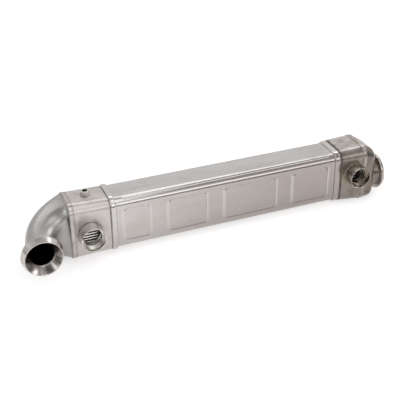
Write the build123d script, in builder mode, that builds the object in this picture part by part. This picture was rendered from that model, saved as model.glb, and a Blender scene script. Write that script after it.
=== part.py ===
from build123d import *
from math import cos, radians, sin, sqrt
import os

os.makedirs("parts", exist_ok=True)

# Shell: a pressed case of rounded-rectangle section round the tube bundle
core_width = 78.4
core_height = 110.0
core_corner = 17.5
sheet = 1.2
bead_span = 466.5
inlet_bead_width = 12.0
inlet_bead_rise = 3.75
outlet_bead_width = 13.0
outlet_bead_rise = 2.75
bead_crown = 0.95
spigot = 6.0
lap_gap = 0.1

# Pressed pads on the two long sides, and the groove along each front corner
pad_lengths = (52.0, 79.5, 112.0, 79.0)
pad_spacing = 38.0
pad_start = 13.5
pad_height = 69.5
pad_rise = 1.2
pad_corner = 9.0
pad_draft = 55.0
groove_start_margin = 14.0
groove_end_margin = 10.0
groove_width = 8.0
groove_depth = 1.8
groove_angle = 62.0

# Inlet end: tube sheet rim, coolant tank and gas elbow
inlet_rim = 7.5
inlet_rim_side = 2.0
inlet_rim_end = 4.5
inlet_rim_corner = 21.0
inlet_tank_length = 69.0
inlet_groove = 1.5
elbow_reach = 65.0
elbow_drop = 70.5
elbow_wall = 1.5
elbow_steps = 8
elbow_morph = 0.6
elbow_sag = 1.5
elbow_round = 0.995
inlet_bore = 23.0

# Inlet flange: a turned bell mouth with a V rim for a band clamp
inlet_flange_length = 26.0
inlet_vee_radius = 40.0
inlet_vee_start = 11.0
inlet_vee_land = 3.0
inlet_lip_radius = 35.5
inlet_lip_edge = 1.2
inlet_pilot = 10.0
flange_seat_length = 1.5

# Outlet end: flared coolant tank, tube sheet rim, end cap and neck
outlet_groove = 2.5
outlet_tank_length = 48.5
outlet_tank_side = 3.0
outlet_tank_top = 3.5
outlet_tank_corner = 20.0
outlet_lip = 2.0
outlet_rim = 7.5
outlet_rim_side = 6.0
outlet_rim_end = 8.0
outlet_rim_corner = 24.0
outlet_rim_drop = 2.0
cap_depth = 26.0
cap_wall = 3.0
cap_crown = 14.0
cap_top_fall = 15.0
cap_back_fall = 9.0
cap_side_fall = 2.0
cap_end_corner = 22.0
outlet_bore = 28.0
outlet_axis_front = 8.0
outlet_axis_drop = 16.0
neck_length = 9.0

# Outlet flange: a turned V ring for a band clamp
outlet_flange_length = 12.0
outlet_vee_radius = 38.5
outlet_vee_face = 36.0
outlet_vee_land = 3.0
outlet_vee_depth = 4.5
outlet_lead = 2.0

# Tube sheets: a web inside the rim carries the tube ends
rim_lip = 0.8
rim_wall = 4.0
rim_edge = 0.7
web = 3.0
gas_pocket = 2.0
tube_gap = 0.05

# Gas tubes and the corrugated fin in each
tube_count = 16
bundle_side = 6.2
bundle_end = 8.65
tube_height = 4.2
tube_wall = 0.5
tube_stand = 1.5
fin_sheet = 0.25
fin_waves = 11
fin_gap = 0.05
fin_setback = 10.0
fin_margin = 2.5

# Combs that hold the tubes apart inside the shell
comb_count = 3
comb_sheet = 1.5
comb_reach = 20.0
comb_margin = 2.0
comb_gap = 0.2

# Coolant ports on the front of the tanks
inlet_port_radius = 24.4
inlet_port_stand = 27.0
outlet_port_radius = 22.6
outlet_port_stand = 26.0
port_wall = 1.4
port_step = 4.3
port_mouth_depth = 13.0
port_edge = 0.6
port_lead = 0.4
inlet_port_place = 29.0
inlet_port_drop = 3.7
outlet_port_place = 30.3
outlet_port_rise = 8.5

# Vent fitting on top of the inlet tank
vent_radius = 8.0
vent_bore = 5.25
vent_stand = 11.0
vent_edge = 1.0
vent_place = 34.0
vent_back = 2.0

# Stations along the cooler, measured from the seam between elbow and tube sheet
inlet_tank_end = inlet_rim + inlet_tank_length
inlet_bead_start = inlet_tank_end + inlet_groove
shell_face_start = inlet_bead_start + inlet_bead_width
shell_face_end = shell_face_start + bead_span
outlet_bead_end = shell_face_end + outlet_bead_width
outlet_tank_start = outlet_bead_end + outlet_groove
outlet_tank_end = outlet_tank_start + outlet_tank_length
cap_start = outlet_tank_end + outlet_rim
cap_end = cap_start + cap_depth
neck_end = cap_end + neck_length
outlet_face = neck_end + outlet_flange_length
shell_start = inlet_tank_end - spigot
shell_end = outlet_tank_start + spigot
tube_start = gas_pocket - tube_stand
tube_end = cap_start - gas_pocket + tube_stand

# Rims and tank stand out from the shell's section; the tubes fill it
inlet_rim_width = core_width + 2 * inlet_rim_side
inlet_rim_height = core_height + 2 * inlet_rim_end
outlet_tank_width = core_width + 2 * outlet_tank_side
outlet_tank_height = core_height + 2 * outlet_tank_top
outlet_rim_width = core_width + 2 * outlet_rim_side
outlet_rim_height = core_height + 2 * outlet_rim_end
tube_width = core_width - 2 * bundle_side
bundle_height = core_height - 2 * bundle_end
tube_pitch = (bundle_height - tube_height) / (tube_count - 1)

# The origin lies under the middle of the whole cooler, on the surface it rests on
seam_x = (elbow_reach + inlet_vee_radius - outlet_face) / 2
mid_y = (elbow_drop + inlet_flange_length - outlet_rim_width / 2) / 2
mid_z = outlet_rim_height / 2 + outlet_rim_drop

# Sections that neighbouring pieces share
inlet_end_width = inlet_rim_width - 2 * rim_lip
inlet_end_height = inlet_rim_height - 2 * rim_lip
inlet_end_corner = inlet_rim_corner - rim_lip
inlet_lap = lap_gap + sheet
outlet_end_width = outlet_rim_width - 2 * rim_lip
outlet_end_height = outlet_rim_height - 2 * rim_lip
outlet_end_corner = outlet_rim_corner - rim_lip
inlet_pipe = inlet_bore + elbow_wall
inlet_port_bore = inlet_port_radius - port_wall - port_step
outlet_port_bore = outlet_port_radius - port_wall - port_step
outlet_pipe = outlet_bore + cap_wall
cap_end_width = outlet_end_width - cap_back_fall - cap_side_fall
cap_end_height = outlet_end_height - cap_top_fall - cap_side_fall
cap_end_shift = (cap_back_fall - cap_side_fall) / 2
cap_end_drop = outlet_rim_drop + (cap_top_fall - cap_side_fall) / 2
groove_radius = (groove_width**2 / 4 + groove_depth**2) / (2 * groove_depth)


def station(along, drop=0.0):
    """Plane across the cooler: local X runs to the back, local Y runs up."""
    origin = (seam_x + along, mid_y, mid_z - drop)
    return Plane(origin=origin, x_dir=(0, 1, 0), z_dir=(1, 0, 0))


def elbow_plane(turn):
    """Plane across the gas passage, part of the way round the elbow."""
    along = elbow_reach * sin(turn)
    across = elbow_drop * (1 - cos(turn))
    origin = (seam_x - along, mid_y - across, mid_z)
    heading = Vector(elbow_reach * cos(turn), elbow_drop * sin(turn), 0)
    side = Vector(-heading.Y, heading.X, 0)
    return Plane(origin=origin, x_dir=side, z_dir=heading)


def elbow_section(share, inset):
    """Width, height, corner and lift of the elbow's section, from rounded box to pipe."""
    fast = share**elbow_morph
    half_width = inlet_end_width / 2 + (inlet_pipe - inlet_end_width / 2) * fast
    top = inlet_end_height / 2 + (inlet_pipe - inlet_end_height / 2) * share
    foot = inlet_end_height / 2 + (inlet_pipe - inlet_end_height / 2) * share**elbow_sag
    box_share = 2 * inlet_end_corner / inlet_end_width
    corner = half_width * (box_share + (elbow_round - box_share) * fast)
    corner_in = corner - inset * corner / half_width
    return 2 * (half_width - inset), top + foot - 2 * inset, corner_in, (top - foot) / 2


def elbow_form(inset):
    """Solid inside the elbow's outer surface, drawn in by the inset."""
    with BuildPart() as form:
        for step in range(elbow_steps + 1):
            share = step / elbow_steps
            width, height, corner, lift = elbow_section(share, inset)
            with BuildSketch(elbow_plane(radians(90 * share))):
                with Locations((0, lift)):
                    RectangleRounded(width, height, corner)
        loft()
    return form.part


def bead_form(start, length, rise, inset):
    """Solid inside one raised bead round the shell."""
    width = core_width + 2 * (rise - inset)
    height = core_height + 2 * (rise - inset)
    run = length - 2 * inset
    with BuildPart() as form:
        with BuildSketch(station(start + inset)):
            RectangleRounded(width, height, core_corner + rise - inset)
        extrude(amount=run)
        ring_edges = form.edges().filter_by(Axis.X, reverse=True)
        fillet(ring_edges, radius=bead_crown * min(rise, run / 2))
    return form.part


def pad_centres():
    """Distance of each pad's centre from the start of the shell's plain length."""
    centres = []
    reached = pad_start
    for length in pad_lengths:
        centres.append(reached + length / 2)
        reached += length + pad_spacing
    return centres


def shell_form(inset):
    """Solid inside the shell's outer surface, drawn in by the inset."""
    half_width = core_width / 2 - inset
    groove = groove_radius + inset
    reach = core_corner + groove_radius - groove_depth
    groove_y = mid_y - core_width / 2 + core_corner - reach * cos(radians(groove_angle))
    groove_z = core_height / 2 - core_corner + reach * sin(radians(groove_angle))
    groove_length = bead_span - groove_start_margin - groove_end_margin - groove_width
    middle = seam_x + shell_face_start + groove_start_margin + (groove_length + groove_width) / 2
    with BuildPart() as form:
        with BuildSketch(station(shell_start)):
            RectangleRounded(2 * half_width, core_height - 2 * inset, core_corner - inset)
        extrude(amount=shell_end - shell_start)
        for centre, length in zip(pad_centres(), pad_lengths):
            place = seam_x + shell_face_start + centre
            for side in (-1, 1):
                face = (place, mid_y + side * half_width, mid_z)
                with BuildSketch(Plane(origin=face, x_dir=(1, 0, 0), z_dir=(0, side, 0))):
                    RectangleRounded(length, pad_height, pad_corner)
                extrude(amount=pad_rise, taper=pad_draft)
        for end in (-1, 1):
            with Locations((middle, groove_y, mid_z + end * groove_z)):
                Cylinder(groove, groove_length, rotation=(0, 90, 0), mode=Mode.SUBTRACT)
            for way in (-1, 1):
                tip = middle + way * groove_length / 2
                with Locations((tip, groove_y, mid_z + end * groove_z)):
                    Sphere(groove, mode=Mode.SUBTRACT)
        add(bead_form(inlet_bead_start, inlet_bead_width, inlet_bead_rise, inset))
        add(bead_form(shell_face_end, outlet_bead_width, outlet_bead_rise, inset))
    return form.part


def inlet_tank_form(inset):
    """Solid inside the inlet tank's outer surface, drawn in by the inset."""
    end_width = core_width + 2 * (inlet_lap - inset)
    end_height = core_height + 2 * (inlet_lap - inset)
    with BuildPart() as form:
        with BuildSketch(station(inlet_rim)):
            corner = inlet_end_corner - inset
            RectangleRounded(inlet_end_width - 2 * inset, inlet_end_height - 2 * inset, corner)
        with BuildSketch(station(inlet_tank_end)):
            RectangleRounded(end_width, end_height, core_corner + inlet_lap - inset)
        loft()
    return form.part


def outlet_tank_form(start, inset):
    """Solid inside the outlet tank's outer surface, drawn in by the inset."""
    with BuildPart() as form:
        with BuildSketch(station(start)):
            corner = outlet_tank_corner - inset
            RectangleRounded(outlet_tank_width - 2 * inset, outlet_tank_height - 2 * inset, corner)
        with BuildSketch(station(outlet_tank_end, outlet_rim_drop)):
            corner = outlet_end_corner - inset
            RectangleRounded(outlet_end_width - 2 * inset, outlet_end_height - 2 * inset, corner)
        loft()
    return form.part


def rim_form(start, length, width, height, corner, drop):
    """Solid outline of a tube sheet with its two outer edges rounded."""
    with BuildPart() as form:
        with BuildSketch(station(start, drop)):
            RectangleRounded(width, height, corner)
        extrude(amount=length)
        fillet(form.edges().filter_by(Axis.X, reverse=True), radius=rim_edge)
    return form.part


def cap_form(inset):
    """Solid inside the domed end cap's outer surface, drawn in by the inset."""
    with BuildPart() as form:
        with BuildSketch(station(cap_start, outlet_rim_drop)):
            corner = outlet_end_corner - inset
            RectangleRounded(outlet_end_width - 2 * inset, outlet_end_height - 2 * inset, corner)
        with BuildSketch(station(cap_end - inset, cap_end_drop)):
            with Locations((-cap_end_shift, 0)):
                corner = cap_end_corner - inset
                RectangleRounded(cap_end_width - 2 * inset, cap_end_height - 2 * inset, corner)
        loft()
        far_face = form.faces().sort_by(Axis.X)[-1]
        fillet(far_face.edges(), radius=cap_crown - inset)
    return form.part


def front_plane(along, height, depth):
    """Plane facing the front, at a depth in front of the cooler's middle."""
    origin = (seam_x + along, mid_y - depth, mid_z + height)
    return Plane(origin=origin, x_dir=(1, 0, 0), z_dir=(0, -1, 0))


# Gas inlet flange, turned about the pipe's axis
flange_seat = (seam_x - elbow_reach, mid_y - elbow_drop, mid_z)
with BuildPart() as inlet_flange:
    with BuildSketch(Plane(origin=flange_seat, x_dir=(1, 0, 0), z_dir=(0, 0, -1))):
        with BuildLine():
            Polyline(
                (inlet_bore, 0),
                (inlet_pipe, 0),
                (inlet_pipe, flange_seat_length),
                (inlet_vee_radius, inlet_vee_start),
                (inlet_vee_radius, inlet_vee_start + inlet_vee_land),
                (inlet_lip_radius, inlet_flange_length),
                (inlet_lip_radius - inlet_lip_edge, inlet_flange_length),
                (inlet_bore, inlet_pilot),
                close=True,
            )
        make_face()
    revolve(axis=Axis(flange_seat, (0, -1, 0)))
inlet_flange.part.label = "inlet_flange"
export_step(inlet_flange.part, "parts/inlet_flange.step")

# Gas inlet elbow, from the tube sheet's rounded box to the round pipe
with BuildPart() as inlet_elbow:
    add(elbow_form(0.0))
    add(elbow_form(elbow_wall), mode=Mode.SUBTRACT)
inlet_elbow.part.label = "inlet_elbow"
export_step(inlet_elbow.part, "parts/inlet_elbow.step")

# Inlet tube sheet
with BuildPart() as inlet_tube_sheet:
    add(rim_form(0, inlet_rim, inlet_rim_width, inlet_rim_height, inlet_rim_corner, 0))
    with BuildSketch(station(0)):
        inner_corner = inlet_rim_corner - rim_wall
        RectangleRounded(inlet_rim_width - 2 * rim_wall, inlet_rim_height - 2 * rim_wall, inner_corner)
    extrude(amount=gas_pocket, mode=Mode.SUBTRACT)
    with BuildSketch(station(gas_pocket + web)):
        RectangleRounded(inlet_rim_width - 2 * rim_wall, inlet_rim_height - 2 * rim_wall, inner_corner)
    extrude(amount=inlet_rim - gas_pocket - web, mode=Mode.SUBTRACT)
    with BuildSketch(station(gas_pocket)):
        with GridLocations(0, tube_pitch, 1, tube_count):
            SlotOverall(tube_width + 2 * tube_gap, tube_height + 2 * tube_gap)
    extrude(amount=web, mode=Mode.SUBTRACT)
inlet_tube_sheet.part.label = "inlet_tube_sheet"
export_step(inlet_tube_sheet.part, "parts/inlet_tube_sheet.step")

# Inlet coolant tank, open to the port and the vent
inlet_port_along = inlet_rim + inlet_port_place
vent_seat = (seam_x + inlet_rim + vent_place, mid_y + vent_back, mid_z)
vent_top = core_height / 2 + inlet_lap + vent_stand
with BuildPart() as inlet_tank:
    add(inlet_tank_form(0.0))
    add(inlet_tank_form(sheet), mode=Mode.SUBTRACT)
    with BuildSketch(front_plane(inlet_port_along, -inlet_port_drop, 0)):
        Circle(inlet_port_bore)
    extrude(amount=inlet_rim_width / 2, mode=Mode.SUBTRACT)
    with BuildSketch(Plane(origin=vent_seat)):
        Circle(vent_bore)
    extrude(amount=inlet_rim_height / 2, mode=Mode.SUBTRACT)
inlet_tank.part.label = "inlet_tank"
export_step(inlet_tank.part, "parts/inlet_tank.step")


def coolant_port(along, height, face_depth, radius, carrier):
    """Turned neck with a wider mouth for the pipe end, seated on the carrier's surface."""
    port_mouth = radius - port_wall
    with BuildPart() as neck:
        with BuildSketch(front_plane(along, height, 0)):
            Circle(radius)
            Circle(port_mouth - port_step, mode=Mode.SUBTRACT)
        extrude(amount=face_depth)
        with BuildSketch(front_plane(along, height, face_depth - port_mouth_depth)):
            Circle(port_mouth)
        extrude(amount=port_mouth_depth, mode=Mode.SUBTRACT)
        mouth = neck.faces().sort_by(Axis.Y)[0].edges().sort_by(SortBy.LENGTH)
        chamfer(mouth[0], length=port_lead)
        fillet(mouth[-1], radius=port_edge)
        add(carrier, mode=Mode.SUBTRACT)
    return neck.part


# Inlet coolant port
inlet_port_face = core_width / 2 + inlet_port_stand
inlet_coolant_port = coolant_port(
    inlet_port_along, -inlet_port_drop, inlet_port_face, inlet_port_radius, inlet_tank_form(0.0)
)
inlet_coolant_port.label = "inlet_coolant_port"
export_step(inlet_coolant_port, "parts/inlet_coolant_port.step")

# Vent fitting
with BuildPart() as vent_fitting:
    with BuildSketch(Plane(origin=vent_seat)):
        Circle(vent_radius)
        Circle(vent_bore, mode=Mode.SUBTRACT)
    extrude(amount=vent_top)
    top_edges = vent_fitting.faces().sort_by(Axis.Z)[-1].edges().sort_by(SortBy.LENGTH)
    chamfer(top_edges[0], length=vent_edge / 2)
    fillet(top_edges[-1], radius=vent_edge)
    add(inlet_tank_form(0.0), mode=Mode.SUBTRACT)
vent_fitting.part.label = "vent_fitting"
export_step(vent_fitting.part, "parts/vent_fitting.step")

# Shell
with BuildPart() as shell:
    add(shell_form(0.0))
    add(shell_form(sheet), mode=Mode.SUBTRACT)
shell.part.label = "shell"
export_step(shell.part, "parts/shell.step")

# Gas tubes, each with its corrugated fin
fin_width = tube_width - tube_height - 2 * fin_margin
fin_slope_run = fin_width / (2 * fin_waves)
fin_space = tube_height - 2 * tube_wall - 2 * fin_gap
fin_height = fin_space - fin_sheet * sqrt(1 + (fin_space / fin_slope_run) ** 2)
for row in range(tube_count):
    row_height = (row - (tube_count - 1) / 2) * tube_pitch
    with BuildPart() as gas_tube:
        with BuildSketch(station(tube_start, -row_height)):
            SlotOverall(tube_width, tube_height)
            SlotOverall(tube_width - 2 * tube_wall, tube_height - 2 * tube_wall, mode=Mode.SUBTRACT)
        extrude(amount=tube_end - tube_start)
    gas_tube.part.label = f"gas_tube_{row + 1:02d}"
    export_step(gas_tube.part, f"parts/gas_tube_{row + 1:02d}.step")
    ridge = []
    for corner in range(2 * fin_waves + 1):
        level = fin_height / 2 if corner % 2 else -fin_height / 2
        ridge.append(((corner / (2 * fin_waves) - 0.5) * fin_width, level))
    with BuildPart() as turbulator:
        with BuildSketch(station(tube_start + fin_setback, -row_height)):
            with BuildLine():
                Polyline(*ridge)
                offset(amount=fin_sheet / 2, kind=Kind.INTERSECTION, side=Side.BOTH)
            make_face()
        extrude(amount=tube_end - tube_start - 2 * fin_setback)
    turbulator.part.label = f"turbulator_{row + 1:02d}"
    export_step(turbulator.part, f"parts/turbulator_{row + 1:02d}.step")

# Support combs, spaced evenly along the shell's plain length
comb_height = bundle_height + 2 * comb_margin
notch_back = tube_width / 2 + comb_gap
inner_width = core_width - 2 * sheet - 2 * comb_gap
inner_height = core_height - 2 * sheet - 2 * comb_gap
for number in range(comb_count):
    comb_place = shell_face_start + bead_span * (number + 1) / (comb_count + 1)
    with BuildPart() as support_comb:
        with BuildSketch(station(comb_place - comb_sheet / 2)):
            RectangleRounded(inner_width, inner_height, core_corner - sheet - comb_gap)
            with Locations((-comb_reach, 0)):
                Rectangle(inner_width, comb_height, align=(Align.MIN, Align.CENTER), mode=Mode.INTERSECT)
            with Locations(*[(-comb_reach, (i - (tube_count - 1) / 2) * tube_pitch) for i in range(tube_count)]):
                Rectangle(
                    comb_reach + notch_back,
                    tube_height + 2 * comb_gap,
                    align=(Align.MIN, Align.CENTER),
                    mode=Mode.SUBTRACT,
                )
        extrude(amount=comb_sheet)
    support_comb.part.label = f"support_comb_{number + 1}"
    export_step(support_comb.part, f"parts/support_comb_{number + 1}.step")

# Outlet coolant tank: its first end is turned in to meet the shell
lip_width = core_width + 2 * lap_gap
lip_height = core_height + 2 * lap_gap
outlet_port_along = outlet_tank_start + outlet_port_place
with BuildPart() as outlet_tank:
    add(outlet_tank_form(outlet_tank_start, 0.0))
    add(outlet_tank_form(outlet_tank_start + outlet_lip, sheet), mode=Mode.SUBTRACT)
    with BuildSketch(station(outlet_tank_start)):
        RectangleRounded(lip_width, lip_height, core_corner + lap_gap)
    extrude(amount=outlet_lip, mode=Mode.SUBTRACT)
    with BuildSketch(front_plane(outlet_port_along, outlet_port_rise, 0)):
        Circle(outlet_port_bore)
    extrude(amount=outlet_rim_width / 2, mode=Mode.SUBTRACT)
outlet_tank.part.label = "outlet_tank"
export_step(outlet_tank.part, "parts/outlet_tank.step")

# Outlet coolant port, seated on the tank and the tube sheet's rim
with BuildPart() as outlet_seat:
    add(outlet_tank_form(outlet_tank_start, 0.0))
    add(rim_form(outlet_tank_end, outlet_rim, outlet_rim_width, outlet_rim_height, outlet_rim_corner, outlet_rim_drop))
outlet_port_face = outlet_tank_width / 2 + outlet_port_stand
outlet_coolant_port = coolant_port(
    outlet_port_along, outlet_port_rise, outlet_port_face, outlet_port_radius, outlet_seat.part
)
outlet_coolant_port.label = "outlet_coolant_port"
export_step(outlet_coolant_port, "parts/outlet_coolant_port.step")

# Outlet tube sheet
outlet_web_start = outlet_rim - gas_pocket - web
with BuildPart() as outlet_tube_sheet:
    add(rim_form(outlet_tank_end, outlet_rim, outlet_rim_width, outlet_rim_height, outlet_rim_corner, outlet_rim_drop))
    for start, depth in ((0.0, outlet_web_start), (outlet_web_start + web, gas_pocket)):
        with BuildSketch(station(outlet_tank_end + start, outlet_rim_drop)):
            pocket_corner = outlet_rim_corner - rim_wall
            RectangleRounded(outlet_rim_width - 2 * rim_wall, outlet_rim_height - 2 * rim_wall, pocket_corner)
        extrude(amount=depth, mode=Mode.SUBTRACT)
    with BuildSketch(station(outlet_tank_end + outlet_web_start)):
        with GridLocations(0, tube_pitch, 1, tube_count):
            SlotOverall(tube_width + 2 * tube_gap, tube_height + 2 * tube_gap)
    extrude(amount=web, mode=Mode.SUBTRACT)
outlet_tube_sheet.part.label = "outlet_tube_sheet"
export_step(outlet_tube_sheet.part, "parts/outlet_tube_sheet.step")

# Outlet gas cap with its neck, off the cooler's middle as the outlet is
outlet_axis = (seam_x + cap_start, mid_y - outlet_axis_front, mid_z - outlet_axis_drop)
outlet_plane = Plane(origin=outlet_axis, x_dir=(0, 1, 0), z_dir=(1, 0, 0))
with BuildPart() as outlet_cap:
    with BuildSketch(outlet_plane):
        Circle(outlet_pipe)
    extrude(amount=cap_depth + neck_length)
    add(cap_form(0.0))
    add(cap_form(cap_wall), mode=Mode.SUBTRACT)
    with BuildSketch(outlet_plane):
        Circle(outlet_bore)
    extrude(amount=cap_depth + neck_length, mode=Mode.SUBTRACT)
outlet_cap.part.label = "outlet_cap"
export_step(outlet_cap.part, "parts/outlet_cap.step")

# Gas outlet flange, turned about the neck's axis
ring_seat = (outlet_axis[0] + cap_depth + neck_length, outlet_axis[1], outlet_axis[2])
with BuildPart() as outlet_flange:
    with BuildSketch(Plane(origin=ring_seat, x_dir=(0, 0, 1), z_dir=(0, 1, 0))):
        with BuildLine():
            Polyline(
                (outlet_bore, 0),
                (outlet_pipe, 0),
                (outlet_pipe, flange_seat_length),
                (outlet_vee_radius, outlet_vee_depth),
                (outlet_vee_radius, outlet_vee_depth + outlet_vee_land),
                (outlet_vee_face, outlet_flange_length),
                (outlet_bore + outlet_lead, outlet_flange_length),
                (outlet_bore, outlet_flange_length - outlet_lead),
                close=True,
            )
        make_face()
    revolve(axis=Axis(ring_seat, (1, 0, 0)))
outlet_flange.part.label = "outlet_flange"
export_step(outlet_flange.part, "parts/outlet_flange.step")
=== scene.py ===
"""EGR cooler: finishes, weld seams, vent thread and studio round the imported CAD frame."""

import logging
from dataclasses import dataclass, replace
from enum import Enum
from math import cos, pi, radians, sin, sqrt
from typing import Optional, Union

import bmesh
import bpy
from mathutils import Matrix, Vector


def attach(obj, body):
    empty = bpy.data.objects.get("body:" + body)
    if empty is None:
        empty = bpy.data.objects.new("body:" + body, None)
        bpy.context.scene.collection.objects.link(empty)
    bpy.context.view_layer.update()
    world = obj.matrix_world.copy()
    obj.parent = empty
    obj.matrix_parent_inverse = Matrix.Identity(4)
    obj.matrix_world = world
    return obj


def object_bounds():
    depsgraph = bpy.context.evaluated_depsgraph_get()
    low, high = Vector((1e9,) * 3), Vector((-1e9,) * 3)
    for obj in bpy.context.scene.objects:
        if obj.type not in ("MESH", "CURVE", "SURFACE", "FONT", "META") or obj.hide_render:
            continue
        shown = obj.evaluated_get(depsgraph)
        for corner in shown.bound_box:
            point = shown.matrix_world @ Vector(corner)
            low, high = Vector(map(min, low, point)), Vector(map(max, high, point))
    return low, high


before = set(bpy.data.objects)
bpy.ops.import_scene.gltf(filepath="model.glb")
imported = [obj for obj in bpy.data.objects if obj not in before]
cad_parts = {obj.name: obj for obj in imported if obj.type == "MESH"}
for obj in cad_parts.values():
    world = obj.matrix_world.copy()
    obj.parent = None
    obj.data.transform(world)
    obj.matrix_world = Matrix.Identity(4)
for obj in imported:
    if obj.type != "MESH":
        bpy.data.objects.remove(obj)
cad_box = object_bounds()

LOG = logging.getLogger("egr_cooler")
MM = 0.001

Point = tuple[float, float, float]
Span = tuple[float, float]
Tree = bpy.types.NodeTree
Socket = bpy.types.NodeSocket

# Blender's names for the nodes used most, and the setting of a range with soft ends
MATH = "ShaderNodeMath"
VECTOR_MATH = "ShaderNodeVectorMath"
MAP_RANGE = "ShaderNodeMapRange"
SMOOTH = {"interpolation_type": "SMOOTHSTEP"}

# Places shared with the CAD source, in mm in the row frame. Starts, ends and the middles of the shell's two
# beads count along X from the elbow's seam.
SEAM_X = -285.0
MID_Y = 25.65
MID_Z = 65.0
INLET_TANK_START = 7.5
INLET_TANK_END = 76.5
INLET_BEAD = 84.0
PADS = ((102.0, 157.0), (192.0, 274.5), (309.5, 424.5), (459.5, 541.5))
PAD_SPANS = tuple((SEAM_X + start, SEAM_X + end) for start, end in PADS)
PAD_HALF_HEIGHT = 34.75
OUTLET_BEAD = 563.0
OUTLET_TANK_START = 572.0
OUTLET_TANK_END = 620.5
CAP_START = 628.0
CAP_END = 654.0
NECK_END = 663.0
GAS_BORE_RADIUS = 23.0
FLANGE_SEAT = (SEAM_X - 65.0, MID_Y - 70.5, MID_Z)
INLET_PORT = (SEAM_X + 36.5, MID_Y - 40.4, MID_Z - 3.7)
OUTLET_PORT = (SEAM_X + 602.3, MID_Y - 43.6, MID_Z + 8.5)
VENT = (SEAM_X + 41.5, MID_Y + 2.0, MID_Z + 57.5)
OUTLET_AXIS = (MID_Y - 8.0, MID_Z - 16.0)
# Ways that the fittings point. The tanks' walls slope, so two of them lean a little.
TO_FRONT = (0, -1, 0)
TO_END = (1, 0, 0)
VENT_AXIS = (0.035, 0, 1)
OUTLET_PORT_AXIS = (-0.045, -1, 0)

# Roughness of the patches' outlines, and how far a seed shifts a pattern along each axis
PATCH_ROUGHNESS = 0.55
SEED_SHIFT = (1.0, 0.7, 1.3)
# Share of a heat tint that is left where the tint is thinnest
THINNEST_TINT = 0.45


class Across(Enum):
    """How a heat tint lies on the metal, with a 1 for each axis along which it fades out."""

    # A band across the cooler at one X
    SEAM = (1.0, 0.0, 0.0)
    # A ring round a coolant port that points to the front
    NECK = (1.0, 0.0, 1.0)
    # A ring round a fitting that points up
    BOSS = (1.0, 1.0, 0.0)
    # A band round the gas inlet pipe at one Y
    MOUTH = (0.0, 1.0, 0.0)


@dataclass(frozen=True)
class HeatTint:
    """Oxide colour that a weld leaves on stainless steel beside it.

    The same form also lays painted highlights and painted shade. It is strongest at the radius from its
    place, and gone at the reach from there, in mm.
    """

    across: Across
    place: Point
    reach: float
    colour: str
    strength: float
    radius: float = 0.0


@dataclass(frozen=True)
class SideFilm:
    """Painted shade that darkens one side of a piece and grows along X.

    Side is the Y at which the painted shade is full and the Y at which it is gone, in mm.
    """

    colour: str
    start_x: float
    end_x: float
    side: Span
    strength: float


@dataclass(frozen=True)
class PadEdges:
    """Painted highlights on the pads' upright edges and a painted shadow under their lower edge."""

    spans: tuple[Span, ...]
    half_height: float
    side_y: float
    reach: float
    colour: str
    strength: float
    foot_reach: float
    foot_colour: str
    foot_strength: float
    fade: float = 8.0


@dataclass(frozen=True)
class SootedBore:
    """Bore painted black for the shade deep in it, with streaks of painted dark reflection on its funnel.

    A streak has the angle of its middle and its half width in degrees. Solid is the share of the reach over
    which the streaks are full, lip is the bare ring between the bore and them, and slack is how far over the
    bore's radius its wall may lie.
    """

    seat: Point
    radius: float
    start: float
    reach: float
    streaks: tuple[Span, ...]
    colour: str
    streak: str
    solid: float = 0.75
    strength: float = 0.95
    thinnest: float = 0.6
    lip: Span = (0.8, 3.0)
    slack: float = 0.4


def linear(colour: str) -> tuple[float, float, float, float]:
    """Turns an sRGB hex colour to linear light, by the standard curve.

    Args:
        colour: Six hex digits, without a hash sign.

    Returns:
        Red, green, blue and alpha as Blender's colour sockets take them.
    """
    parts = [int(colour[i : i + 2], 16) / 255 for i in (0, 2, 4)]
    lit = [p / 12.92 if p <= 0.04045 else ((p + 0.055) / 1.055) ** 2.4 for p in parts]
    return (lit[0], lit[1], lit[2], 1.0)


def add_node(
    tree: Tree,
    kind: str,
    settings: Optional[dict[str, object]] = None,
    inputs: Optional[dict[object, object]] = None,
) -> bpy.types.Node:
    """Adds one node with its settings, values and links.

    Args:
        tree: The node tree that gets the node.
        kind: Blender's name for the node type.
        settings: Attribute values of the node.
        inputs: Socket name or number to a value, or to the output that feeds it.

    Returns:
        The new node.
    """
    node = tree.nodes.new(kind)
    for key, value in (settings or {}).items():
        setattr(node, key, value)
    for key, value in (inputs or {}).items():
        if isinstance(value, Socket):
            tree.links.new(value, node.inputs[key])
        else:
            node.inputs[key].default_value = value
    return node


def new_tree(name: str) -> tuple[bpy.types.Material, Tree, Socket]:
    """Starts a material with its coordinates in millimetres.

    Args:
        name: The finish's own name.

    Returns:
        The material, its empty node tree, and the Object coordinates in millimetres.
    """
    material = bpy.data.materials.new(name)
    material.use_nodes = True
    tree = material.node_tree
    tree.nodes.clear()
    spot = add_node(tree, "ShaderNodeTexCoord")
    scaled = add_node(tree, VECTOR_MATH, {"operation": "SCALE"}, {0: spot.outputs["Object"], "Scale": 1 / MM})
    return material, tree, scaled.outputs[0]


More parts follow.
